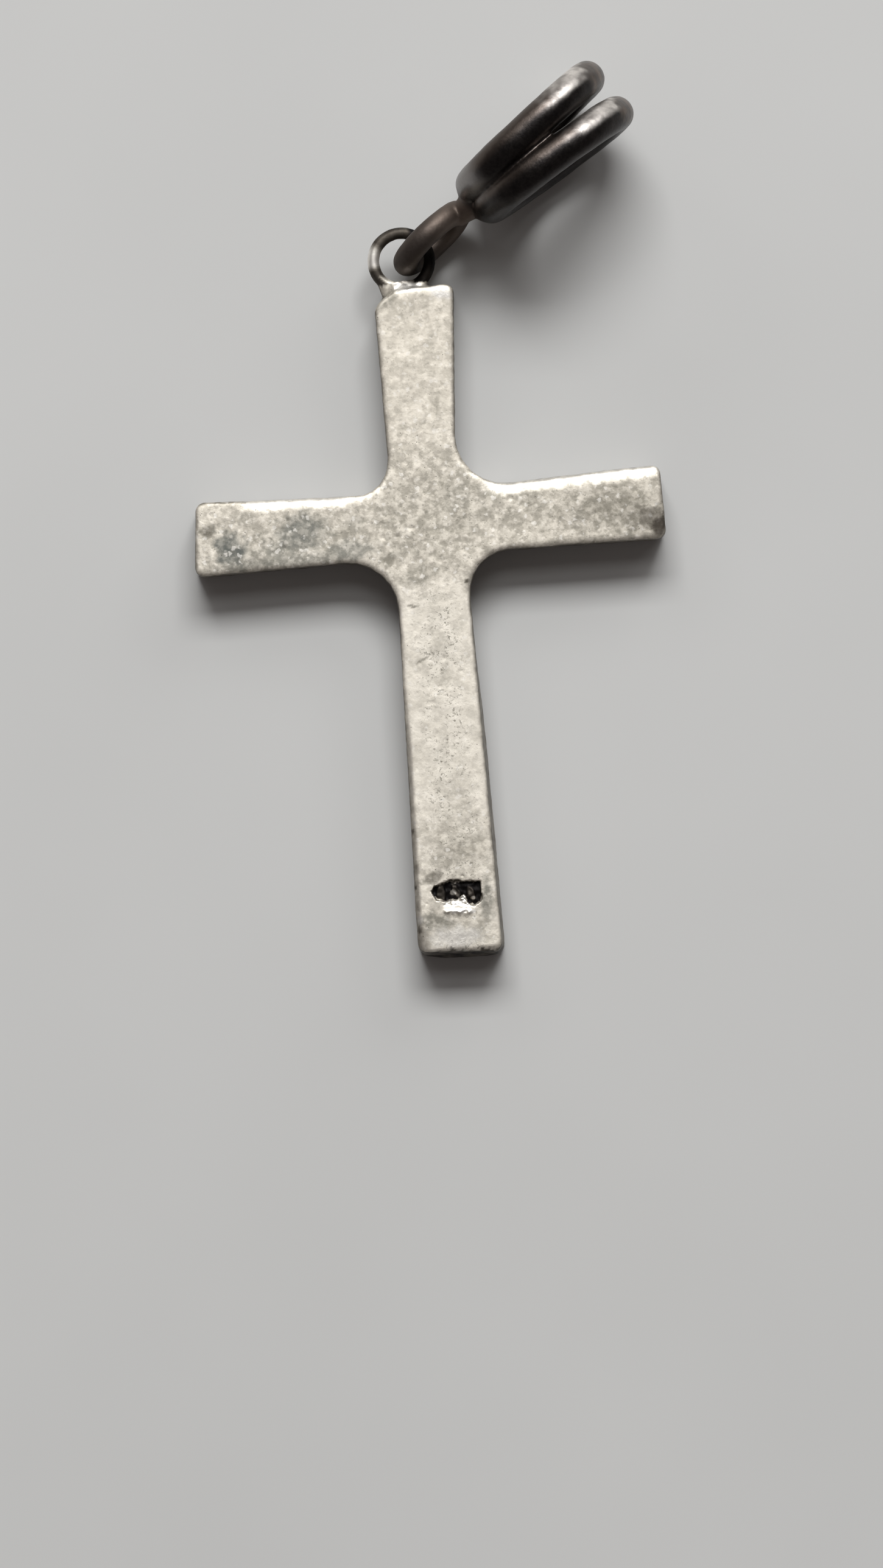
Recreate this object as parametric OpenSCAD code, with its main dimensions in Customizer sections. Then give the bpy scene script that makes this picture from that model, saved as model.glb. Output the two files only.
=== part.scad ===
// Cross pendant of cast silver, lying on its front with the back upwards.
// The cross carries a small eyelet ring soldered to its top end. The bail hangs in that
// eyelet: two oval rings of round wire spread in a narrow V, soldered to a small link ring.
// Frame: millimetres, +Z up, the surface it lies on at Z = 0, the crossing of the arms at
// the origin, the top arm along +Y.

/* [Cross] */
// thickness of the cross, front to back
cross_t = 2.4; // [1.7:0.05:4]
// crossing to the end of the top arm
top_reach = 9.68; // [5:0.05:20]
// crossing to the end of each side arm
side_reach = 9.64; // [5:0.05:20]
// crossing to the end of the foot
foot_reach = 17.68; // [8:0.05:40]
// width of the top arm at the crossing
top_root_w = 2.66; // [1.5:0.02:6]
// width of the top arm at its end
top_end_w = 3.3; // [1.5:0.02:8]
// width of the side arms at the crossing
side_root_w = 2.62; // [1.5:0.02:6]
// width of the side arms at their ends
side_end_w = 3.05; // [1.5:0.02:8]
// width of the foot at the crossing
foot_root_w = 2.9; // [1.5:0.02:6]
// width of the foot at its end
foot_end_w = 3.47; // [1.5:0.02:8]
// radius of the four inner corners, which differ by the shares in the table of arms
inner_r = 1.75; // [0.5:0.05:2.1]
// radius of the outer corners, seen from above
corner_r = 0.36; // [0.36:0.02:1]
// radius worn on the edges of the back
back_edge_r = 0.13; // [0.1:0.01:0.34]
// radius on the edges of the front
front_edge_r = 0.25; // [0.1:0.01:0.34]

/* [Stamp] */
// length of the punched panel
stamp_l = 2.05; // [1:0.05:2.6]
// width of the punched panel
stamp_w = 1.0; // [0.4:0.05:1.6]
// depth of the punched panel
stamp_deep = 0.16; // [0.05:0.01:0.4]
// centre of the panel, measured back from the end of the foot
stamp_up = 2.44; // [1.5:0.02:6]
// turn of the panel in the plane of the cross
stamp_turn = -5; // [-15:1:15]
// number of raised marks in the panel
mark_n = 3; // [1:1:4]
// width of each raised mark
mark_w = 0.34; // [0.2:0.01:0.5]
// length of each raised mark across the panel
mark_l = 0.64; // [0.2:0.02:1]
// spacing of the raised marks
mark_pitch = 0.62; // [0.5:0.02:0.8]
// height of each raised mark above the panel
mark_h = 0.07; // [0.02:0.01:0.2]

/* [Eyelet] */
// outside diameter of the eyelet ring
eyelet_od = 2.8; // [2.4:0.05:5]
// wire diameter of the eyelet ring
eyelet_wire = 0.5; // [0.3:0.01:1]
// how far the eyelet ring is let into the end of the top arm
eyelet_sink = 0.24; // [0.05:0.01:0.4]
// sideways place of the eyelet, to the left of the top arm's middle
eyelet_side = 0.4; // [0:0.02:0.8]
// thickness of the solder run under the eyelet
solder_t = 0.9; // [0.4:0.02:1]
// length of the solder run under the eyelet
solder_l = 1.5; // [0.8:0.05:2.4]
// how far the middle of the solder run lies inside the end of the top arm
solder_in = 0.1; // [0:0.01:0.3]

/* [Bail] */
// outside height of each oval bail ring
ring_h = 7; // [4.4:0.1:7.8]
// length of the straight wire along the top and bottom of each oval ring
ring_straight = 0.8; // [0.2:0.1:6]
// wire diameter of the bail rings
ring_wire = 1.45; // [0.8:0.05:2.2]
// how far the wires of the two rings run into each other where they are soldered
ring_bite = 0.31; // [0.05:0.01:0.6]
// angle of the V between the two rings
ring_v = 6.6; // [0:0.2:20]
// outside diameter of the link ring
link_od = 4.0; // [3.8:0.05:7]
// wire diameter of the link ring
link_wire = 1.0; // [0.6:0.02:1.1]
// lean of the link ring out of the upright
link_twist = 8; // [0:1:14]
// turn of the link ring about the upright, from the way the bail points
link_turn = 4; // [-10:1:10]
// height of the solder neck between the link ring and the bail rings
neck = 0.34; // [0:0.01:0.6]
// diameter of that neck
neck_d = 0.95; // [0.6:0.05:1.4]
// direction in which the bail points on the surface, from the right-hand arm
bail_heading = 35; // [0:0.5:60]
// room between the eyelet's wire and the inside of the link ring
link_room = 0.3; // [0.05:0.01:0.35]
// room between the eyelet and the link ring's wire where that passes under it
link_under = 0.55; // [0.45:0.01:0.65]
// how far the link ring stands to the right of the eyelet's centre
link_side = 0.1; // [0:0.01:0.2]

/* [Hidden] */
$fn = 64;
arc_n = 6;          // segments in each corner of the outline
edge_n = 3;         // segments in each rounded edge
edge_from = 18;     // degrees of the rounded edge that the flat face takes over

// One row for each arm, counter-clockwise from the right-hand one. The shifts place the
// arm's middle line as shares of its width, positive to the left of its direction.
// turn, reach, root width, end width, root shift, end shift, skew of the end, and the radius
// of the inner corner to the next arm as a share of inner_r
arms = [
    [0,   side_reach, side_root_w, side_end_w, 0,      0.042,  -1,   1.13],
    [90,  top_reach,  top_root_w,  top_end_w,  0.055,  -0.035, -2.8, 0.8],
    [180, side_reach, side_root_w, side_end_w, 0.012,  -0.02,  5,    1.17],
    [270, foot_reach, foot_root_w, foot_end_w, -0.013, -0.037, 3,    1]
];
root_at = (top_root_w + side_root_w) / 4;

// a point given along and to the left of a direction
function at(turn, a, b) =
    [a * cos(turn) - b * sin(turn), a * sin(turn) + b * cos(turn)];

// middle line of an arm at its root and end, as an offset to the left
function mid_root(r) = r[4] * r[2];
function mid_end(r) = r[5] * r[3];

// a line as [point, unit direction], through two points
function line(p, q) = [p, (q - p) / norm(q - p)];
function side_line(r, s) = let (
        p = at(r[0], root_at, mid_root(r) + s * r[2] / 2),
        q = at(r[0], r[1], mid_end(r) + s * r[3] / 2))
    s < 0 ? line(p, q) : line(q, p);
function end_line(r) = line(at(r[0], r[1] - tan(r[6]), -1), at(r[0], r[1] + tan(r[6]), 1));

// the twelve edges of the outline, counter-clockwise
edges = [for (r = arms) each [side_line(r, -1), end_line(r), side_line(r, 1)]];

function shifted(l, d) = [l[0] + d * [-l[1][1], l[1][0]], l[1]];
function meet(l, m) = let (c = l[1][0] * m[1][1] - l[1][1] * m[1][0], w = m[0] - l[0])
    l[0] + l[1] * ((w[0] * m[1][1] - w[1] * m[1][0]) / c);
function turn_of(l) = atan2(l[1][1], l[1][0]);
function swing(l, m) = let (a = turn_of(m) - turn_of(l)) a > 180 ? a - 360 : a < -180 ? a + 360 : a;

// the rounded outline, drawn in by d: every corner keeps its centre and its point count
function outline(d) = [for (i = [0 : len(edges) - 1]) let (
        l = edges[i], m = edges[(i + 1) % len(edges)], a = swing(l, m),
        r = a > 0 ? corner_r : -inner_r * arms[floor(i / 3)][7],
        c = meet(shifted(l, r), shifted(m, r)))
    for (k = [0 : arc_n])
        c + (r - d) * [sin(turn_of(l) + a * k / arc_n), -cos(turn_of(l) + a * k / arc_n)]];

// loops of the rounded skin, [drawn in by, height]
skin = concat(
    [for (k = [0 : edge_n]) let (f = edge_from + (90 - edge_from) * k / edge_n)
        [front_edge_r * (1 - sin(f)), front_edge_r * (1 - cos(f))]],
    [for (k = [0 : edge_n]) let (f = 90 - (90 - edge_from) * k / edge_n)
        [back_edge_r * (1 - sin(f)), cross_t - back_edge_r * (1 - cos(f))]]);
flat_in = max(front_edge_r, back_edge_r);

// places of the eyelet and the bail: the link ring stands on the surface and runs under
// the eyelet's wire, which sets the height of the eyelet on the end of the arm
eyelet_r = (eyelet_od - eyelet_wire) / 2;
eyelet_z = link_wire + link_under + eyelet_wire / 2;
eyelet_at = [-mid_end(arms[1]) - eyelet_side,
             top_reach + eyelet_od / 2 - eyelet_sink, eyelet_z];
ring_r = (ring_h - ring_wire) / 2;
link_r = (link_od - link_wire) / 2;
link_z = link_r * cos(link_twist) + link_wire / 2;
// the link ring holds the eyelet's wire this far towards its outer side
link_off = sqrt(pow(link_r - link_wire / 2 - eyelet_wire / 2 - link_room, 2)
    - pow(link_z - eyelet_z, 2));
link_from = at(bail_heading, eyelet_r + link_off, -link_side);
link_at = [eyelet_at[0] + link_from[0], eyelet_at[1] + link_from[1], link_z];
// the neck rises from the link ring to the ends of the bail rings, which lie level
neck_l = link_od / 2 + neck + ring_wire / 2;
neck_rise = asin((ring_h / 2 - link_z) / neck_l);

module wire_ring(r, wire) {
    rotate_extrude() translate([r, 0]) circle(d = wire);
}

// the rounded outside of the cross
module cross_skin() {
    n = len(outline(0));
    m = len(skin);
    pts = concat([for (s = skin) each [for (p = outline(s[0])) [p[0], p[1], s[1]]]],
        [[0, 0, skin[0][1]], [0, 0, skin[m - 1][1]]]);
    polyhedron(pts, concat(
        [for (j = [0 : m - 2]) for (i = [0 : n - 1]) let (k = (i + 1) % n)
            each [[j * n + i, (j + 1) * n + k, j * n + k],
                  [j * n + i, (j + 1) * n + i, (j + 1) * n + k]]],
        [for (i = [0 : n - 1]) [m * n, i, (i + 1) % n]],
        [for (i = [0 : n - 1]) [m * n + 1, (m - 1) * n + (i + 1) % n, (m - 1) * n + i]]));
}

// a plain punched panel with three raised marks
module stamp() {
    translate([mid_end(arms[3]), -foot_reach + stamp_up, cross_t]) rotate(stamp_turn)
        difference() {
            translate([-stamp_l / 2, -stamp_w / 2, -stamp_deep])
                cube([stamp_l, stamp_w, 2 * stamp_deep]);
            for (i = [0 : mark_n - 1])
                translate([(i - (mark_n - 1) / 2) * mark_pitch - mark_w / 2, -mark_l / 2,
                           -2 * stamp_deep])
                    cube([mark_w, mark_l, stamp_deep + mark_h]);
        }
}

module cross_body() {
    difference() {
        union() {
            linear_extrude(cross_t) polygon(outline(flat_in));
            cross_skin();
        }
        stamp();
    }
}

// the eyelet ring with the solder run that holds it on the end of the top arm
module eyelet() {
    translate(eyelet_at) wire_ring(eyelet_r, eyelet_wire);
    translate([eyelet_at[0] + eyelet_side / 2, top_reach - solder_in, eyelet_z]) {
        half = (solder_l - solder_t) / 2;
        translate([-half, 0, 0]) rotate([0, 90, 0]) cylinder(d = solder_t, h = 2 * half);
        for (s = [-1, 1]) translate([s * half, 0, 0]) sphere(d = solder_t);
    }
}

module cross() {
    color([0.80, 0.79, 0.75]) {
        cross_body();
        eyelet();
    }
}

// an upright oval ring of round wire: two half rings joined by straight wire
module oval_ring() {
    for (s = [-1, 1]) {
        translate([s * ring_straight / 2, 0, 0]) rotate([90, 0, 0]) rotate(-90 * s)
            rotate_extrude(angle = 180) translate([ring_r, 0]) circle(d = ring_wire);
        translate([-ring_straight / 2, 0, s * ring_r]) rotate([0, 90, 0])
            cylinder(d = ring_wire, h = ring_straight);
    }
}

// two oval rings in a V, soldered side by side at their near ends
module double_ring() {
    for (s = [-1, 1])
        translate([0, s * (ring_wire - ring_bite) / 2, 0]) rotate(s * ring_v / 2)
            translate([ring_straight / 2 + ring_r, 0, 0]) oval_ring();
}

module link_ring() {
    rotate([90 - link_twist, 0, 0]) wire_ring(link_r, link_wire);
}

module bail() {
    color([0.26, 0.25, 0.24])
        translate(link_at) rotate(bail_heading) {
            rotate(link_turn) link_ring();
            rotate([0, -neck_rise, 0]) translate([link_r, 0, 0]) rotate([0, 90, 0])
                cylinder(d = neck_d, h = neck_l - link_r);
            translate([neck_l * cos(neck_rise), 0, ring_h / 2 - link_z]) double_ring();
        }
}

cross();
bail();
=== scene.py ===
"""A worn cast silver cross pendant with its dark double-ring bail, lying on its front.

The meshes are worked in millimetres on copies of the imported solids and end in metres, in
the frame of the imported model: the upper face at 2.4 mm, the crossing of the arms at the
origin and the top arm along +Y.
"""

import math

import bmesh
import bpy
from mathutils import Matrix, Vector, noise


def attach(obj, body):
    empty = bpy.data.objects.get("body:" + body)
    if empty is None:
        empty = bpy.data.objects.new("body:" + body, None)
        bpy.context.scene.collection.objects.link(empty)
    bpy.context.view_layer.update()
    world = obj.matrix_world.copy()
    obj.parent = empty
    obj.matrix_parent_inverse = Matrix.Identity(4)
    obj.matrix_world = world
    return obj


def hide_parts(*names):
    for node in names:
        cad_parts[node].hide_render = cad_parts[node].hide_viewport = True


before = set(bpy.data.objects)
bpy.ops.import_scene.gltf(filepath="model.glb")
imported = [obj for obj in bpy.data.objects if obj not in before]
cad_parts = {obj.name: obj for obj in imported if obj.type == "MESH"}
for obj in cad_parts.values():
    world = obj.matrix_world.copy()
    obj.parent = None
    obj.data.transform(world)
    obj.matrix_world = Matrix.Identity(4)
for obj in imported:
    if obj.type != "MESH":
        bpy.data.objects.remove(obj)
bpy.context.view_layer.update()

MM = 0.001
scene = bpy.context.scene

# sizes of the solids that the script needs again, in millimetres

CROSS_T = 2.4
FOOT_REACH = 17.68
# left and right edge of the foot, at the crossing and the end
FOOT_SIDES = ((-1.488, -1.863), (1.412, 1.607))
# upper edge of the left and right arm, at the crossing and the end
ARM_TOPS = ((1.279, 1.586), (1.310, 1.653))
ARM_REACH = 9.64
# centre, size and turn of the punched panel, and the size of its three marks
PANEL_AT = (-0.128, -15.24)
PANEL_SIZE = (2.05, 1.0)
PANEL_TURN = -5.0
MARK_W = 0.34
MARK_L = 0.64
MARK_PITCH = 0.62
MARK_H = 0.07
# centre of the eyelet, and where it and its solder begin beyond the top arm
EYELET_AT = (-0.285, 10.84)
EYELET_FROM = 9.95
# centre of the two bail rings, the way they point, and the solder neck before them
BAIL_AT = (5.83, 15.0)
BAIL_HEADING = math.radians(35)
BAIL_AHEAD = Vector((math.cos(BAIL_HEADING), math.sin(BAIL_HEADING), 0))
BAIL_LEFT = Vector((-BAIL_AHEAD.y, BAIL_AHEAD.x, 0))
NECK_AT = Vector((2.9, 12.95, 3.1))

# forms and wear that the script adds, in millimetres

# points of a solid closer than this are one, and the size of the even faces it is remade in
WELD = 0.002
CROSS_FACE = 0.078
BAIL_FACE = 0.07
# how far the rounded crossing reaches along the side arms and the foot
CROSSING_END = 2.0
# depth of the casting's pits, and how far a fully worn edge sinks
PIT_DEEP = 0.02
EDGE_SINKS = 0.10
# width of the worn, lit slope along the upper edge of a side arm
RIM_W = 0.60
# where along the foot its left edge, and then its lower corners, begin to be worn and
# are worn fully
EDGE_WORN = (6.5, 10.0)
CORNER_WORN = (16.2, 17.5)
# how far the foot's right side and its end splay towards the front, and the end's bow
DRAFT = 0.11
END_BOW = 0.15
# how far the shoulder at the left of the eyelet is worn back
SHOULDER_WORN = 0.54
# how far the solder swells the bail's neck, and how far from the neck's centre it ends
NECK_SWELLS = 0.22
NECK_END = 1.0
# depth of the blackened part of the panel, and the height, width and distance below the
# panel of the metal pushed up there
PANEL_DEEP = 0.20
BURR_H = 0.055
BURR_W = 0.09
BURR_BELOW = 0.26
# band around the panel that gets finer faces
PANEL_RIM = 0.42
# lower and upper edge of the blackened part, along the panel
PANEL_LOW = ((-1.02, 0.06), (-0.90, -0.18), (-0.75, -0.27), (-0.47, -0.33), (0.05, -0.32),
             (0.31, -0.12), (0.50, -0.40), (0.78, -0.54), (1.06, -0.28))
PANEL_HIGH = ((-1.02, 0.04), (-0.90, 0.24), (-0.60, 0.37), (-0.22, 0.46), (1.06, 0.56))

# colours of the cast silver

SILVER_GREY = (0.43, 0.402, 0.345)
SILVER_WARM = (0.66, 0.618, 0.535)
SILVER_PALE = (0.97, 0.915, 0.81)
SILVER_EVEN = (0.77, 0.72, 0.625)
SILVER_CLEAN = (0.99, 0.945, 0.85)
DULL_GREY = (0.28, 0.262, 0.215)
BLUE_GREY = (0.16, 0.172, 0.160)
CRACK_GREY = (0.20, 0.19, 0.155)
PEARL_WHITE = (0.99, 0.94, 0.85)
CRISP_WHITE = (0.99, 0.96, 0.90)
FLECK_GREY = (0.17, 0.158, 0.125)
SPECK_BLACK = (0.08, 0.072, 0.06)
GLINT_AND_PALE_WHITE = (0.97, 0.945, 0.89)
TARNISH_AND_SHADE_BROWN = (0.045, 0.034, 0.025)
TARNISH_AND_SHADE_BLACK = (0.006, 0.005, 0.005)

# colours of the dark wire, the floor and the studio's own light

WIRE_BLACK = (0.026, 0.024, 0.024)
WIRE_DARK = (0.048, 0.043, 0.041)
WIRE_BROWN_AND_SHEEN = (0.185, 0.148, 0.124)
WIRE_GREY = (0.30, 0.285, 0.275)
WIRE_WORN_AND_LIT = (0.90, 0.85, 0.80)
FLOOR_DARKER = (0.508, 0.511, 0.503)
FLOOR_PALER = (0.529, 0.532, 0.524)
STUDIO_GREY = (0.118, 0.105, 0.101, 1)


def smooth(low, high, value):
    """0 below low, 1 above high and an even S between them."""
    t = min(1.0, max(0.0, (value - low) / (high - low)))
    return t * t * (3 - 2 * t)


def grain(point, size, seed=0.0):
    """Soft noise from -1 to 1 whose lumps are about size millimetres across."""
    return noise.noise(point / size + Vector((seed, seed, seed)))


# meshes


def even_copy(name, node, face, passes):
    """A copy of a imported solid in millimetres, in even faces, its creases softened."""
    source = bpy.data.objects.new("source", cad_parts[node].data.copy())
    scene.collection.objects.link(source)
    source.data.materials.clear()
    source.data.transform(Matrix.Scale(1 / MM, 4))
    mesh = bmesh.new()
    mesh.from_mesh(source.data)
    bmesh.ops.remove_doubles(mesh, verts=mesh.verts, dist=WELD)
    mesh.to_mesh(source.data)
    mesh.free()
    remesh = source.modifiers.new("even", "REMESH")
    remesh.mode = "VOXEL"
    remesh.voxel_size = face
    made = bpy.data.meshes.new_from_object(
        source.evaluated_get(bpy.context.evaluated_depsgraph_get()))
    bpy.data.objects.remove(source)
    made.name = name
    mesh = bmesh.new()
    mesh.from_mesh(made)
    bpy.data.meshes.remove(made)
    for _ in range(passes):
        bmesh.ops.smooth_vert(mesh, verts=mesh.verts, factor=0.5,
                              use_axis_x=True, use_axis_y=True, use_axis_z=True)
    return mesh


def finished(name, mesh, material, tint=None):
    """Ends a mesh: stain and painted-light shares on its points, metres, smooth faces and its
    material.
    """
    data = bpy.data.meshes.new(name)
    mesh.normal_update()
    normals = [v.normal.copy() for v in mesh.verts]
    mesh.to_mesh(data)
    mesh.free()
    if tint:
        stains = data.color_attributes.new("stains", "FLOAT_COLOR", "POINT")
        for point, normal, stain in zip(data.vertices, normals, stains.data):
            stain.color = tint(point.co, normal)
    data.transform(Matrix.Scale(MM, 4))
    data.shade_smooth()
    data.materials.append(material)
    piece = bpy.data.objects.new(name, data)
    scene.collection.objects.link(piece)
    return piece


# materials


class Wire:
    """One socket of a finish. Arithmetic on it adds Math nodes."""

    def __init__(self, finish, socket):
        self.finish = finish
        self.socket = socket

    def math(self, operation, first, second):
        return self.finish.node("ShaderNodeMath", {"operation": operation},
                                {0: first, 1: second})

    def __add__(self, other):
        return self.math("ADD", self, other)

    def __radd__(self, other):
        return self.math("ADD", other, self)

    def __sub__(self, other):
        return self.math("SUBTRACT", self, other)

    def __rsub__(self, other):
        return self.math("SUBTRACT", other, self)

    def __mul__(self, other):
        return self.math("MULTIPLY", self, other)

    def __rmul__(self, other):
        return self.math("MULTIPLY", other, self)

    def over(self, low, high):
        """0 below low and 1 above high, evenly between."""
        return self.finish.node("ShaderNodeMapRange", {},
                                {"Value": self, "From Min": low, "From Max": high})


class Finish:
    """A material and the one way in which its nodes are added."""

    def __init__(self, name):
        self.material = bpy.data.materials.new(name)
        self.material.use_nodes = True
        self.tree = self.material.node_tree
        self.tree.nodes.clear()
        # object coordinates in millimetres
        where = self.node("ShaderNodeTexCoord", out="Object")
        self.at = self.node("ShaderNodeMapping", {},
                            {"Vector": where, "Scale": (1 / MM,) * 3})

    def node(self, kind, settings=None, sockets=None, out=0):
        """Adds a node: its settings first, then the values or links of its sockets."""
        made = self.tree.nodes.new(kind)
        for key, value in (settings or {}).items():
            if key == "stops":
                self.set_stops(made.color_ramp, value)
            else:
                setattr(made, key, value)
        for key, value in (sockets or {}).items():
            if isinstance(value, Wire):
                self.tree.links.new(value.socket, made.inputs[key])
            else:
                made.inputs[key].default_value = value
        return Wire(self, made.outputs[out])

    @staticmethod
    def set_stops(ramp, stops):
        while len(ramp.elements) < len(stops):
            ramp.elements.new(1.0)
        for element, (place, colour) in zip(ramp.elements, stops):
            element.position = place
            element.color = (*colour, 1.0)

    def lumps(self, per_mm, detail=2.0, rough=0.5, at=None):
        return self.node("ShaderNodeTexNoise", {},
                         {"Vector": at or self.at, "Scale": per_mm, "Detail": detail,
                          "Roughness": rough})

    def cells(self, per_mm, at):
        """Distance from the nearest of a scatter of cell centres."""
        return self.node("ShaderNodeTexVoronoi", {}, {"Vector": at, "Scale": per_mm},
                         out="Distance")

    def warped(self, per_mm, reach):
        """Coordinates shifted by up to half of reach, so that cells get uneven outlines."""
        shift = self.node("ShaderNodeTexNoise", {}, {"Vector": self.at, "Scale": per_mm},
                          out="Color")
        return self.node("ShaderNodeVectorMath", {"operation": "MULTIPLY_ADD"},
                         {0: shift, 1: (reach,) * 3, 2: self.at})

    def place(self, axis):
        """The place along one axis, in millimetres."""
        return self.node("ShaderNodeSeparateXYZ", {}, {0: self.at}, out=axis)

    def ramp(self, value, stops):
        return self.node("ShaderNodeValToRGB", {"stops": stops}, {"Fac": value})

    def mix(self, share, first, second):
        """The first colour, and as much of the second laid over it as share says."""
        return self.node("ShaderNodeMix", {"data_type": "RGBA"},
                         {0: share, 6: first, 7: (*second, 1.0)}, out=2)

    def stains(self):
        """The four stain and painted-light shares on a piece's points, as its tint function
        gives them.
        """
        stained = self.node("ShaderNodeAttribute", {"attribute_name": "stains"}, out="Color")
        parts = [self.node("ShaderNodeSeparateColor", {}, {0: stained}, out=i)
                 for i in range(3)]
        last = self.node("ShaderNodeAttribute", {"attribute_name": "stains"}, out="Alpha")
        return (*parts, last)

    def bump(self, height, strength, distance):
        return self.node("ShaderNodeBump", {},
                         {"Height": height, "Strength": strength,
                          "Distance": distance * MM})

    def done(self, **sockets):
        surface = self.node("ShaderNodeBsdfPrincipled", {}, sockets)
        end = self.tree.nodes.new("ShaderNodeOutputMaterial")
        self.tree.links.new(surface.socket, end.inputs["Surface"])
        return self.material


def cast_silver():
    """Warm whitish cast silver, grey between pale blobs; stain shares, painted shade and
    painted highlights lie on the points.
    """
    f = Finish("cast_silver")
    dull, brown, blue, bright = f.stains()
    # the foot, its upper stretch, and the column down its middle where the flecks lie
    across, along = f.place(0), f.place(1)
    foot = 1 - along.over(-3.6, -1.8)
    stem = foot * along.over(-13.2, -11.2)
    column = 1 - (across * across).over(0.20, 1.4) * 0.85
    # how far handling has evened out the pattern
    soft = along.over(2.0, 5.0) * 0.30 + foot * 0.06 + stem * 0.24
    blobs = f.lumps(3.5, 2.5, 0.52, f.warped(7.0, 0.12)).over(0.38, 0.62)
    fine = f.lumps(9.0, 2.0, 0.55).over(0.34, 0.66)
    cloud = f.lumps(1.3, 2.0).over(0.32, 0.68)
    pearls = (1 - f.cells(3.4, f.warped(6.0, 0.18)).over(0.10, 0.36)) * (1 - soft)
    flecks = f.lumps(8.0, 3.0, 0.66, f.warped(4.0, 0.30)).over(0.54, 0.66) * (
        foot * column * f.lumps(1.3).over(0.36, 0.54))
    specks = (1 - f.cells(4.2, f.warped(20.0, 0.05)).over(0.03, 0.13)) * (
        f.lumps(1.9, 1.0).over(0.50, 0.57))
    crisp = (1 - f.cells(2.7, f.warped(7.0, 0.25)).over(0.18, 0.28)) * (
        f.lumps(2.3, 1.0).over(0.40, 0.52)) * (1 - soft)
    cracks = f.lumps(5.0, 3.0, 0.62).over(0.58, 0.64) * (1 - foot) * (1 - soft)
    tone = blobs * 0.47 + fine * 0.15 + cloud * 0.38
    colour = f.ramp(tone, [(0.0, SILVER_GREY), (0.45, SILVER_WARM), (1.0, SILVER_PALE)])
    colour = f.mix(soft, colour, SILVER_EVEN)
    colour = f.mix(foot * cloud * 0.32 + stem * 0.24, colour, SILVER_CLEAN)
    colour = f.mix(dull * (1 - blobs * 0.55), colour, DULL_GREY)
    colour = f.mix(blue * (1 - blobs * 0.32), colour, BLUE_GREY)
    colour = f.mix(cracks * 0.34, colour, CRACK_GREY)
    colour = f.mix(pearls * 0.40, colour, PEARL_WHITE)
    colour = f.mix(crisp * 0.55, colour, CRISP_WHITE)
    colour = f.mix(flecks * 0.72, colour, FLECK_GREY)
    colour = f.mix(specks * 0.85, colour, SPECK_BLACK)
    # bright share: painted highlights and glints on lit rims, corners, the panel's lip and the
    # eyelet, and pale worn spots
    colour = f.mix(bright, colour, GLINT_AND_PALE_WHITE)
    # brown share: tarnish, and painted shade on sides, edges and wire turned from the light;
    # near its top it turns black
    colour = f.mix(brown, colour, TARNISH_AND_SHADE_BROWN)
    colour = f.mix(brown.over(0.84, 0.99), colour, TARNISH_AND_SHADE_BLACK)
    rough = 0.53 + dull * 0.05 - bright * 0.18 + fine * 0.04
    raised = (blobs * 0.5 + fine * 0.3 + pearls * 0.4) * (1 - soft)
    height = raised - flecks * 0.3 - specks * 0.5
    return f.done(**{"Base Color": colour, "Metallic": 0.85, "Roughness": rough,
                     "Normal": f.bump(height, strength=0.2, distance=0.02)})


def dark_silver():
    """Black oxidised silver wire, worn paler where it is handled, with painted sheen and
    highlights on its flank towards the light.
    """
    f = Finish("dark_silver")
    worn, brown, grey, matt = f.stains()
    patches = f.lumps(1.6, 3.0, 0.6).over(0.38, 0.66)
    fine = f.lumps(8.0, 2.0, 0.6).over(0.35, 0.65)
    colour = f.ramp(patches * 0.6 + fine * 0.4, [(0.0, WIRE_BLACK), (1.0, WIRE_DARK)])
    colour = f.mix(brown, colour, WIRE_BROWN_AND_SHEEN)
    colour = f.mix(grey, colour, WIRE_GREY)
    colour = f.mix(worn * (0.55 + patches * 0.45), colour, WIRE_WORN_AND_LIT)
    rough = 0.34 + fine * 0.06 + worn * 0.04 + matt * 0.22
    height = patches * 0.5 + fine * 0.5
    return f.done(**{"Base Color": colour, "Metallic": 1.0, "Roughness": rough,
                     "Normal": f.bump(height, strength=0.2, distance=0.02)})


def pale_floor():
    """A plain pale floor, a little cloudy."""
    f = Finish("pale_floor")
    colour = f.ramp(f.lumps(0.05, 3.0), [(0.3, FLOOR_DARKER), (0.7, FLOOR_PALER)])
    return f.done(**{"Base Color": colour, "Roughness": 0.75})
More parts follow.
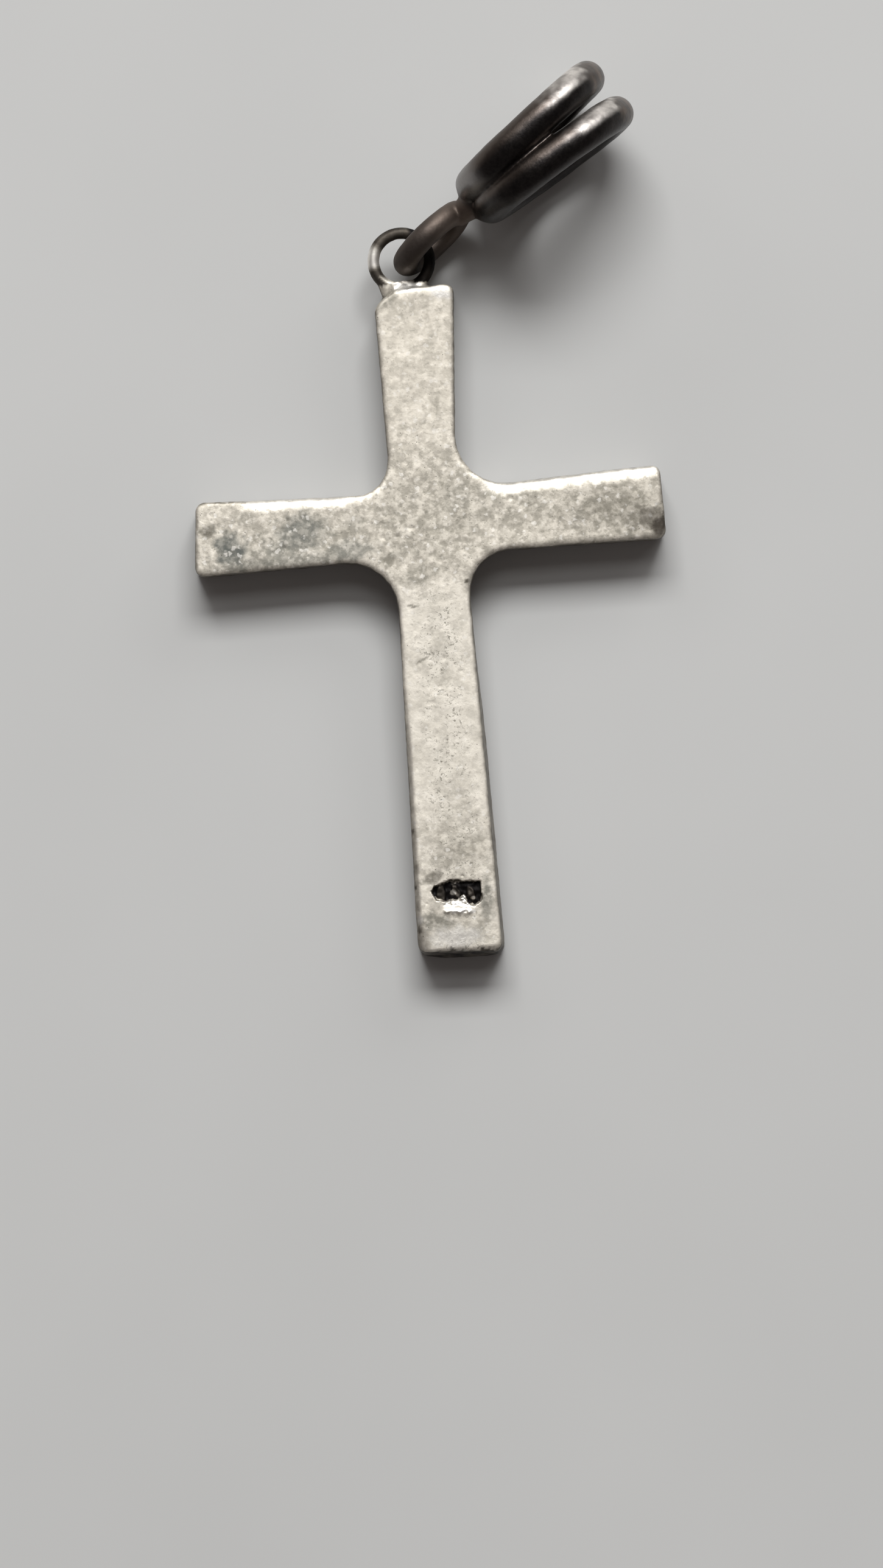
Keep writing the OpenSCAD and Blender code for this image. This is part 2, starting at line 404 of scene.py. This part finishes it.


# the cross

# Stains on the upper face: centre, reach along and across, turn, and the strength of
# dull, brown, blue and bright; bright paints glints, which are painted highlights, and pale
# spots.
FACE_STAINS = [
    # broad dull parts
    (0.20, 0.10, 2.60, 1.90, 0, 0.46, 0.0, 0.0, 0.0),
    (1.10, 1.20, 1.20, 1.60, 0, 0.50, 0.0, 0.0, 0.0),
    (5.00, 0.00, 3.60, 1.20, 0, 0.38, 0.0, 0.0, 0.0),
    (7.70, 0.00, 2.40, 1.15, 0, 0.72, 0.10, 0.0, 0.0),
    (-5.20, -0.30, 3.80, 1.00, 0, 0.40, 0.0, 0.0, 0.0),
    (0.10, -13.30, 1.20, 1.60, 0, 0.34, 0.0, 0.0, 0.0),
    (0.10, -10.80, 0.80, 2.60, 0, 0.18, 0.0, 0.0, 0.0),
    (0.05, -5.20, 0.60, 2.60, 0, 0.14, 0.0, 0.0, 0.0),
    # left arm
    (-9.10, 0.35, 0.32, 0.30, 0, 0.9, 0.34, 0.0, 0.0),
    (-8.25, -0.45, 0.72, 0.80, 0, 0.40, 0.08, 0.95, 0.0),
    (-7.45, 0.75, 0.35, 0.30, 0, 0.50, 0.0, 0.10, 0.0),
    (-7.15, -0.70, 0.45, 0.35, 0, 0.60, 0.03, 0.20, 0.0),
    (-6.30, -0.60, 0.60, 0.50, 0, 0.40, 0.0, 0.45, 0.0),
    (-6.00, -0.45, 0.12, 0.12, 0, 0.80, 0.30, 0.2, 0.0),
    (-5.75, 0.60, 0.12, 0.12, 0, 0.80, 0.25, 0.2, 0.0),
    (-5.35, -0.02, 1.20, 0.82, 12, 0.38, 0.0, 0.68, 0.0),
    (-5.20, -1.05, 3.20, 0.34, 1, 0.40, 0.0, 0.40, 0.0),
    (-7.90, -1.08, 1.00, 0.32, 2, 0.55, 0.10, 0.45, 0.0),
    (-3.40, -0.90, 1.00, 0.50, 0, 0.30, 0.0, 0.55, 0.0),
    (-3.00, 0.30, 0.40, 0.35, 0, 0.55, 0.0, 0.15, 0.0),
    # centre
    (-1.80, -1.40, 0.40, 0.30, 30, 0.75, 0.08, 0.0, 0.0),
    (-0.60, -2.10, 0.90, 0.40, 15, 0.60, 0.0, 0.05, 0.0),
    (-0.55, 1.10, 0.22, 0.13, 0, 0.75, 0.10, 0.2, 0.0),
    (1.25, 1.05, 0.60, 0.60, 0, 0.55, 0.0, 0.12, 0.0),
    (0.70, -0.90, 0.25, 0.18, 0, 0.70, 0.08, 0.0, 0.0),
    (1.35, -2.50, 0.12, 0.10, 30, 0.9, 0.65, 0.0, 0.0),
    # right arm
    (2.60, 0.95, 0.60, 0.35, 0, 0.55, 0.0, 0.10, 0.0),
    (4.10, 0.85, 0.60, 0.30, 0, 0.60, 0.0, 0.10, 0.0),
    (6.00, -0.25, 0.42, 0.42, 0, 0.60, 0.05, 0.12, 0.0),
    (7.40, 0.60, 0.80, 0.50, 0, 0.50, 0.05, 0.0, 0.0),
    (8.45, -0.35, 0.90, 0.65, 0, 0.70, 0.26, 0.0, 0.0),
    (9.10, -0.55, 0.72, 0.60, -20, 0.70, 0.56, 0.0, 0.0),
    (9.42, -0.85, 0.42, 0.58, -20, 0.60, 0.86, 0.0, 0.0),
    # upper arm
    (0.70, 4.90, 0.18, 0.45, 0, 0.42, 0.0, 0.0, 0.0),
    (0.55, 6.10, 0.17, 0.17, 0, 0.36, 0.0, 0.0, 0.0),
    (0.70, 7.20, 0.17, 0.40, 0, 0.38, 0.0, 0.0, 0.0),
    (1.00, 7.95, 0.13, 0.13, 0, 0.50, 0.0, 0.0, 0.0),
    (-0.75, 4.00, 0.15, 0.15, 0, 0.40, 0.0, 0.0, 0.0),
    (-0.30, 8.80, 0.50, 0.40, 0, 0.28, 0.0, 0.0, 0.0),
    (-1.20, 9.00, 0.30, 0.25, 0, 0.30, 0.0, 0.05, 0.0),
    (-1.12, 9.24, 0.85, 0.26, 31, 0.70, 0.14, 0.15, 0.0),
    # painted highlight: glints on the top arm's right corner
    (1.18, 9.36, 0.42, 0.22, -12, 0.0, 0.0, 0.0, 0.95),
    (-0.10, 9.80, 0.70, 0.22, 0, 0.0, 0.0, 0.0, 0.70),
    # foot
    (-1.00, -3.35, 0.22, 0.05, -14, 0.8, 0.45, 0.0, 0.0),
    (-0.65, -5.55, 0.55, 0.05, 27, 0.7, 0.25, 0.0, 0.0),
    (0.05, -5.90, 0.50, 0.80, 0, 0.32, 0.0, 0.0, 0.0),
    (-0.97, -14.52, 0.50, 0.28, 25, 0.55, 0.38, 0.0, 0.0),
    (1.15, -15.50, 0.30, 0.85, 0, 0.65, 0.06, 0.40, 0.0),
    (-1.00, -16.35, 0.85, 0.40, -8, 0.70, 0.06, 0.25, 0.0),
    (0.95, -16.70, 0.45, 0.60, 0, 0.40, 0.06, 0.0, 0.0),
    (-0.28, -17.05, 1.10, 0.46, 0, 0.0, 0.0, 0.0, 0.60),
    # black specks, and a bright one that is a painted glint, on the foot's left edge
    (-1.74, -12.58, 0.11, 0.15, 0, 0.6, 0.85, 0.0, 0.0),
    (-1.80, -14.89, 0.11, 0.13, 0, 0.6, 0.90, 0.0, 0.0),
    (-1.76, -16.62, 0.10, 0.22, 0, 0.6, 0.80, 0.0, 0.0),
    (-1.70, -16.20, 0.10, 0.22, 0, 0.0, 0.0, 0.0, 0.80),
    # glints in the panel and on its lower lip
    (-0.25, -15.22, 0.12, 0.10, 0, 0.0, 0.0, 0.0, 0.60),
    (0.17, -15.50, 0.10, 0.20, 0, 0.0, 0.0, 0.0, 0.95),
    (0.57, -15.50, 0.09, 0.08, 0, 0.0, 0.0, 0.0, 0.95),
    (-0.20, -15.66, 0.16, 0.10, 30, 0.0, 0.0, 0.0, 0.85),
    (-0.22, -15.92, 0.22, 0.10, -8, 0.0, 0.0, 0.0, 0.95),
    (0.15, -15.96, 0.20, 0.13, 20, 0.0, 0.0, 0.0, 0.95),
    (0.48, -16.02, 0.20, 0.10, -8, 0.0, 0.0, 0.0, 0.90),
]
# a stain leaves no trace beyond this many times its larger reach
STAIN_END = 2.4


def stain_at(co):
    """The four shares on the upper face, each with a ragged edge; bright among them paints
    glints.
    """
    ragged = 1 + 0.45 * grain(co, 0.35) + 0.25 * grain(co, 0.13, 7.0)
    sums = [0.0] * 4
    for x, y, along, across, turn, *strengths in FACE_STAINS:
        dx, dy = co.x - x, co.y - y
        if math.hypot(dx, dy) > STAIN_END * max(along, across):
            continue
        c, s = math.cos(math.radians(turn)), math.sin(math.radians(turn))
        far = math.hypot((dx * c + dy * s) / along, (dy * c - dx * s) / across)
        share = 1 - smooth(0.45, 1.25, far * ragged)
        for i, strength in enumerate(strengths):
            sums[i] = max(sums[i], share * strength)
    return sums


def panel_local(co):
    """A point's place along and across the punched panel, from its middle."""
    t = math.radians(-PANEL_TURN)
    dx, dy = co.x - PANEL_AT[0], co.y - PANEL_AT[1]
    return dx * math.cos(t) - dy * math.sin(t), dx * math.sin(t) + dy * math.cos(t)


def past_panel(co):
    """How far a point lies past the panel's ends and past its long sides."""
    u, v = panel_local(co)
    return abs(u) - PANEL_SIZE[0] / 2, abs(v) - PANEL_SIZE[1] / 2


def by_panel(co):
    """True on the upper face in the panel and close around it."""
    return co.z > CROSS_T * 0.75 and max(past_panel(co)) < PANEL_RIM


def panel_in(co, blur):
    """1 inside the punched panel, 0 outside it."""
    ragged = 0.06 * grain(co, 0.25, 3.0) + 0.03 * grain(co, 0.1, 1.0)
    ends, sides = past_panel(co)
    return (1 - smooth(-blur, blur, ends + ragged)) * (1 - smooth(-blur, blur, sides + ragged))


def marks_on(co):
    """1 on the three raised marks of the panel, which are worn round and uneven."""
    u, v = panel_local(co)
    nearest = min(abs(u - i * MARK_PITCH + 0.15 * v) for i in (-1, 0, 1))
    far = math.hypot(nearest / (MARK_W / 2), (v - 0.03) / (MARK_L / 2))
    return 1 - smooth(0.50, 1.10, far + 0.75 * grain(co, 0.22, 12.0))


def table_at(table, place):
    """The value of a table of (place, value) rows, evenly between its rows."""
    for (p, a), (q, b) in zip(table, table[1:]):
        if place < q:
            return a + (b - a) * max(0.0, place - p) / (q - p)
    return table[-1][1]


def panel_black(co):
    """1 in the deep, blackened part of the panel, 0 on what is filled or shallow."""
    u, v = panel_local(co)
    ragged = 0.09 * grain(co, 0.22, 2.0) + 0.05 * grain(co, 0.09, 4.0)
    return (smooth(-0.05, 0.05, v - table_at(PANEL_LOW, u) + ragged)
            * smooth(-0.05, 0.05, table_at(PANEL_HIGH, u) - v + ragged))


def panel_lip(co):
    """1 along the lumpy lower part of the panel, where it is struck through to its edge."""
    u = panel_local(co)[0]
    return smooth(-0.60, -0.30, u) * (1 - smooth(0.50, 0.75, u))


def shape_panel(mesh):
    """Cuts the panel's faces finer and strikes it: deep above, shallow and lumpy below."""
    near = [e for e in mesh.edges if all(by_panel(v.co) for v in e.verts)]
    bmesh.ops.subdivide_edges(mesh, edges=near, cuts=1, use_grid_fill=True)
    for vert in mesh.verts:
        co = vert.co
        if not by_panel(co):
            continue
        inside, black, lip = panel_in(co, 0.05), panel_black(co), panel_lip(co)
        deep = PANEL_DEEP * black * (1 + 0.30 * grain(co, 0.2))
        deep += (1 - black) * lip * (0.05 + 0.05 * grain(co, 0.13, 5.0))
        struck = CROSS_T - deep + MARK_H * black * marks_on(co)
        below = panel_local(co)[1] + PANEL_SIZE[1] / 2 + BURR_BELOW
        burr = BURR_H * lip * math.exp(-(below / BURR_W) ** 2)
        burr *= max(0.0, 1 + 1.3 * grain(co, 0.14, 3.0))
        # the solid's own panel is levelled before the new one is struck
        ends, sides = past_panel(co)
        flat = (1 - smooth(0.15, 0.30, ends)) * (1 - smooth(0.15, 0.30, sides))
        plain = co.z * (1 - flat) + CROSS_T * flat
        co.z = plain * (1 - inside) + struck * inside + burr * (1 - inside)


def from_foot_side(co, side):
    """How far a point lies inside the left (0) or right (1) edge of the foot."""
    share = min(1.0, max(0.0, -co.y / FOOT_REACH))
    edge = FOOT_SIDES[side][0] * (1 - share) + FOOT_SIDES[side][1] * share
    return (co.x - edge) * (1 - 2 * side)


def from_arm_top(co):
    """How far a point lies below the upper edge of its side arm."""
    root, end = ARM_TOPS[co.x > 0]
    share = min(1.0, max(0.0, (abs(co.x) - root) / (ARM_REACH - root)))
    return root * (1 - share) + end * share - co.y


def lit_rim(co):
    """1 at the upper edges of the side arms, down to 0 at the end of their worn slope."""
    if abs(co.x) < CROSSING_END or co.y < 0:
        return 0.0
    if co.x < 0:
        fade, wide = smooth(-8.2, -6.9, co.x) * smooth(2.5, 3.9, -co.x), 0.85 * RIM_W
    else:
        fade, wide = smooth(CROSSING_END, 3.2, co.x), RIM_W
    below = from_arm_top(co) + 0.05 * grain(co, 0.5) + 0.04 * grain(co, 0.17)
    return fade * max(0.0, 1 - max(0.0, below) / wide) ** 2


def foot_wear(co):
    """How much the foot's left edge is worn at this height, and its lower corner; the painted
    shade there follows the same ramps.
    """
    return smooth(*EDGE_WORN, -co.y), smooth(*CORNER_WORN, -co.y)


def worn_down(co):
    """How much the upper face is worn down along its lit edges, the foot's edge and end."""
    worn = 1.4 * lit_rim(co)
    if co.y < -CROSSING_END:
        edge, corner = foot_wear(co)
        left = 1 - smooth(0.0, 0.24 + 0.30 * corner,
                          from_foot_side(co, 0) + 0.05 * grain(co, 0.4))
        end = 1 - smooth(0.0, 0.14, co.y + FOOT_REACH + 0.06 * grain(co, 0.5))
        worn = max(worn, left * edge * (0.8 + 0.7 * corner), 0.8 * end)
    return worn


def splay_foot(co):
    """Lets the foot's right side and its bowed end splay a little towards the front."""
    low = 1 - smooth(0.2, CROSS_T - 0.1, co.z)
    near_side = 1 - smooth(0.0, 0.5, from_foot_side(co, 1))
    co.x += DRAFT * low * smooth(4.0, 9.5, -co.y) * near_side
    bowed = DRAFT + END_BOW * max(0.0, 1 - ((co.x + 0.1) / 2.0) ** 2)
    co.y -= bowed * low * (1 - smooth(0.0, 0.5, co.y + FOOT_REACH))


def fill_solder(co, out):
    """Fills the corner between the solder's run and the end of the top arm."""
    if co.z > CROSS_T / 2 and co.y < 10.3 and out.z > 0.1:
        wide = smooth(-0.95, -0.60, co.x) * (1 - smooth(0.45, 0.85, co.x))
        fill = wide * smooth(9.3, 9.6, co.y)
        run = CROSS_T - 0.04 - 0.30 * smooth(9.40, 10.10, co.y) + 0.07 * grain(co, 0.20, 3.0)
        co.z += fill * (1 - smooth(9.98, 10.22, co.y)) * max(0.0, run - co.z)


def wear_cross(mesh):
    """Uneven cast faces, small pits, and edges and corners worn as in the photo."""
    mesh.normal_update()
    moves = []
    for vert in mesh.verts:
        co, out = vert.co, vert.normal
        edge = 1 - smooth(0.75, 0.98, abs(out.z))
        move = 0.012 * grain(co, 1.6) + 0.006 * grain(co, 0.45, 5.0)
        move += edge * (0.020 * grain(co, 0.55, 9.0) + 0.012 * grain(co, 0.22, 2.0))
        pit = smooth(0.60, 0.80, grain(co, 0.30, 11.0))
        moves.append(out * (move - PIT_DEEP * pit))
    for vert, move in zip(mesh.verts, moves):
        co = vert.co
        co += move * (1.0 if co.y < EYELET_FROM else 0.4)
        if co.z > CROSS_T / 2:
            co.z -= EDGE_SINKS * (co.z / CROSS_T) * worn_down(co)
        if co.y < -CROSSING_END:
            splay_foot(co)
        # the worn shoulder at the left of the eyelet
        co.y -= (SHOULDER_WORN * smooth(0.40, 1.85, -co.x) * smooth(8.4, 9.5, co.y)
                 * (1 - smooth(9.75, EYELET_FROM, co.y)))
        fill_solder(co, vert.normal)
        co.z = max(0.0, co.z)


def is_eyelet(co):
    """True on the eyelet and its solder, which also runs down below the arm's shoulder."""
    return co.y > EYELET_FROM - 0.05 or (co.y > 9.55 and co.x < -0.55 and co.z < 1.8)


def eyelet_tint(co):
    """Polished wire painted dark as a reflection of dark surroundings, with a painted
    highlight on its left arc and painted shade and oxide on its right side; on the pale solder
    that holds it.
    """
    dx, dy = co.x - EYELET_AT[0], co.y - EYELET_AT[1]
    radius = math.hypot(dx, dy)
    turn = math.degrees(math.atan2(dy, dx)) % 360
    # painted highlight on the left arc; painted shade on the right side
    lit = smooth(140, 162, turn) * (1 - smooth(182, 197, turn))
    right_side = smooth(0.30, 0.50, dx)
    outer = smooth(0.98, 1.14, radius) * (1 - smooth(244, 254, turn))
    above = smooth(EYELET_FROM + 0.15, EYELET_FROM + 0.40, co.y)
    on_wire = max(smooth(0.80, 0.95, radius) * max(above, right_side), outer)
    # painted dark reflection over the rest of the wire, lightened where the highlight is
    # painted
    dark = on_wire * (0.89 - 0.86 * lit + 0.09 * right_side + 0.04 * grain(co, 0.5))
    dull = 0.5 * on_wire * (1 - lit)
    bright = max(0.75 * lit * on_wire, 0.30 * (1 - on_wire))
    return dull, max(0.0, dark), 0.0, bright


def cross_tint(co, normal):
    """The cross's shares: its upper face, brown sides, worn edges and the panel; sides and
    edges away from the light carry painted shade, lit rims and glints painted highlights.
    """
    if is_eyelet(co):
        return eyelet_tint(co)
    # the stain and painted-light shares of the upper face end a little way down its sides
    upper = smooth(CROSS_T - 0.75, CROSS_T - 0.30, co.z)
    dull, brown, blue, bright = (stain * upper for stain in stain_at(co))
    # painted shade: the sides turned away from the window light, and all sides near the floor,
    # are painted dark brown and dull, partly tarnish; the upper rims that face the light stay
    # pale
    side = 1 - smooth(0.40, 0.80, normal.z)
    low = 1 - smooth(CROSS_T - 0.45, CROSS_T - 0.2, co.z)
    away = max(smooth(-0.45, 0.0, -normal.y), low)
    dull = max(dull * (1 - side), 0.25 * side)
    foot_end = smooth(17.3, 17.6, -co.y)
    brown = max(brown, side * away * (0.74 + 0.16 * foot_end + 0.12 * grain(co, 0.6, 4.0)
                                      + 0.10 * grain(co, 0.16, 2.0)))
    # painted shade: the left arm's lit upper edge is painted duller and browner towards its
    # end
    if co.y > 0 and co.x < -CROSSING_END:
        edge = (1 - smooth(0.02, 0.30, from_arm_top(co))) * smooth(6.6, 7.8, -co.x)
        dull, brown = max(dull, 0.6 * edge), max(brown, 0.30 * edge)
    # painted shade: the foot's rounded left edge, darker towards its lower corner, and its
    # ragged end are painted dark brown
    if co.y < -CROSSING_END:
        edge, corner = foot_wear(co)
        left = edge * (1 - smooth(0.02, 0.26 + 0.30 * corner,
                                  from_foot_side(co, 0) + 0.10 * grain(co, 0.3)))
        end = 1 - smooth(0.0, 0.13, co.y + FOOT_REACH + 0.20 * grain(co, 0.3)
                         + 0.14 * grain(co, 0.12, 5.0))
        brown = max(brown, (0.52 + 0.22 * corner) * left, 0.86 * end)
    # painted highlight along the upper rims of the side arms, which face the light
    bright = max(bright, 0.5 * lit_rim(co))
    inside = panel_in(co, 0.03)
    if inside > 0:
        black, lip = panel_black(co), panel_lip(co)
        brown = max(brown, inside * black * (1 - 0.075 * marks_on(co)) * (1 - bright))
        # painted highlight: bright spots are painted on the shallow, lumpy lower part of the
        # panel, which faces the light
        shallow = inside * (1 - black) * lip
        bright = max(bright, shallow * smooth(-0.05, 0.25, grain(co, 0.13, 8.0)))
    return dull, brown, blue, bright


cross_mesh = even_copy("cross_body", "cross", face=CROSS_FACE, passes=2)
shape_panel(cross_mesh)
wear_cross(cross_mesh)
cross_piece = finished("cross_body", cross_mesh, cast_silver(), cross_tint)
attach(cross_piece, "root")
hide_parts("cross")


# the bail


def wear_bail(mesh):
    """Slightly uneven, hand-bent wire, swollen by the solder at the neck."""
    mesh.normal_update()
    moves = []
    for vert in mesh.verts:
        solder = 1 - smooth(0.1, NECK_END, (vert.co - NECK_AT).length)
        uneven = 0.020 * grain(vert.co, 1.3, 6.0) + 0.007 * grain(vert.co, 0.4, 8.0)
        moves.append(vert.normal * (uneven + NECK_SWELLS * solder))
    for vert, move in zip(mesh.verts, moves):
        vert.co += move
        vert.co.z = max(0.0, vert.co.z)


def bail_tint(co, normal):
    """Worn, brown, grey and matt shares of the wire. The worn share, on the far part of the
    flank towards the light, is partly worn silver and partly painted highlight; brown paints
    sheen on that flank, tarnish on the far ends and the link.
    """
    dx, dy = co.x - BAIL_AT[0], co.y - BAIL_AT[1]
    along = dx * BAIL_AHEAD.x + dy * BAIL_AHEAD.y
    aside = dx * BAIL_LEFT.x + dy * BAIL_LEFT.y
    to_left = normal.dot(BAIL_LEFT)
    ragged = 0.5 * grain(co, 0.6) + 0.25 * grain(co, 0.25, 4.0)
    patchy = smooth(-0.2, 0.4, grain(co, 0.45, 6.0))
    # painted sheen on the flank that faces the light
    flank = smooth(0.05, 0.6, to_left)
    # worn silver, partly painted highlight where the lamps' highlights fall
    worn = smooth(0.7, 2.7, along + ragged) * smooth(-0.25, 0.2, to_left)
    end = smooth(2.85, 3.60, along + ragged + 0.15 * aside)
    link = 1 - smooth(-4.1, -3.7, along)
    # the near end of the left ring is greyer than that of the right one
    near = smooth(0.1, 0.7, max(to_left, -0.8 * normal.dot(BAIL_AHEAD))) * (
        0.08 + 0.92 * smooth(-0.1, 0.4, aside))
    brown = max(0.46 * flank, (0.30 + 0.62 * patchy) * end,
                link * (0.34 + 0.50 * smooth(-6.4, -4.6, along)))
    grey = max(0.10 * end * (1 - patchy), 0.8 * near * smooth(2.5, 3.3, -along) * (1 - link))
    return worn * (1 - 0.92 * end), brown, grey, link


bail_mesh = even_copy("bail_rings", "bail", face=BAIL_FACE, passes=4)
wear_bail(bail_mesh)
bail_piece = finished("bail_rings", bail_mesh, dark_silver(), bail_tint)
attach(bail_piece, "root")
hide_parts("bail")


# floor, camera and light

PHOTO_W, PHOTO_H = 1450, 2576
PX_PER_MM = 40.0
CROSSING_PX = (705, 859)
PHOTO_TURN = math.radians(4.6)
CAMERA_UP = 400.0
FLOOR_REACH = 2000.0
# metres from the cross to each lamp
LAMP_FAR = 0.8

floor_mesh = bmesh.new()
bmesh.ops.create_grid(floor_mesh, x_segments=1, y_segments=1, size=FLOOR_REACH)
floor = finished("floor", floor_mesh, pale_floor())

# the photo's right and up, in the frame of the cross
right = Vector((math.cos(PHOTO_TURN), -math.sin(PHOTO_TURN), 0))
up = Vector((math.sin(PHOTO_TURN), math.cos(PHOTO_TURN), 0))
over = ((PHOTO_W / 2 - CROSSING_PX[0]) / PX_PER_MM * right
        - (PHOTO_H / 2 - CROSSING_PX[1]) / PX_PER_MM * up)
camera = bpy.data.objects.new("camera", bpy.data.cameras.new("camera"))
camera.data.lens = (camera.data.sensor_width * (CAMERA_UP - CROSS_T)
                    / (PHOTO_H / PX_PER_MM))
camera.data.clip_start = 0.01
camera.location = (over + Vector((0, 0, CAMERA_UP))) * MM
camera.rotation_euler = (0, 0, -PHOTO_TURN)
scene.collection.objects.link(camera)
scene.camera = camera


def softbox(name, azimuth, elevation, wide, high, power):
    """An area light that looks at the object; azimuth 0 is the top of the photo."""
    lamp = bpy.data.lights.new(name, "AREA")
    lamp.shape = "RECTANGLE"
    lamp.size, lamp.size_y, lamp.energy = wide, high, power
    a, e = math.radians(azimuth), math.radians(elevation)
    way = (right * math.sin(a) + up * math.cos(a)) * math.cos(e) + Vector((0, 0, math.sin(e)))
    made = bpy.data.objects.new(name, lamp)
    made.location = way * LAMP_FAR
    made.rotation_euler = way.to_track_quat("Z", "Y").to_euler()
    scene.collection.objects.link(made)


softbox("window", azimuth=0, elevation=49, wide=0.50, high=0.25, power=6.7)
softbox("low_right", azimuth=32, elevation=26, wide=0.50, high=0.20, power=1.0)
softbox("low_left", azimuth=-30, elevation=28, wide=0.50, high=0.20, power=0.5)
softbox("ceiling", azimuth=0, elevation=68, wide=0.30, high=0.15, power=0.5)

world = bpy.data.worlds.new("studio")
world.use_nodes = True
world.node_tree.nodes["Background"].inputs["Color"].default_value = STUDIO_GREY
scene.world = world
scene.view_settings.view_transform = "Standard"
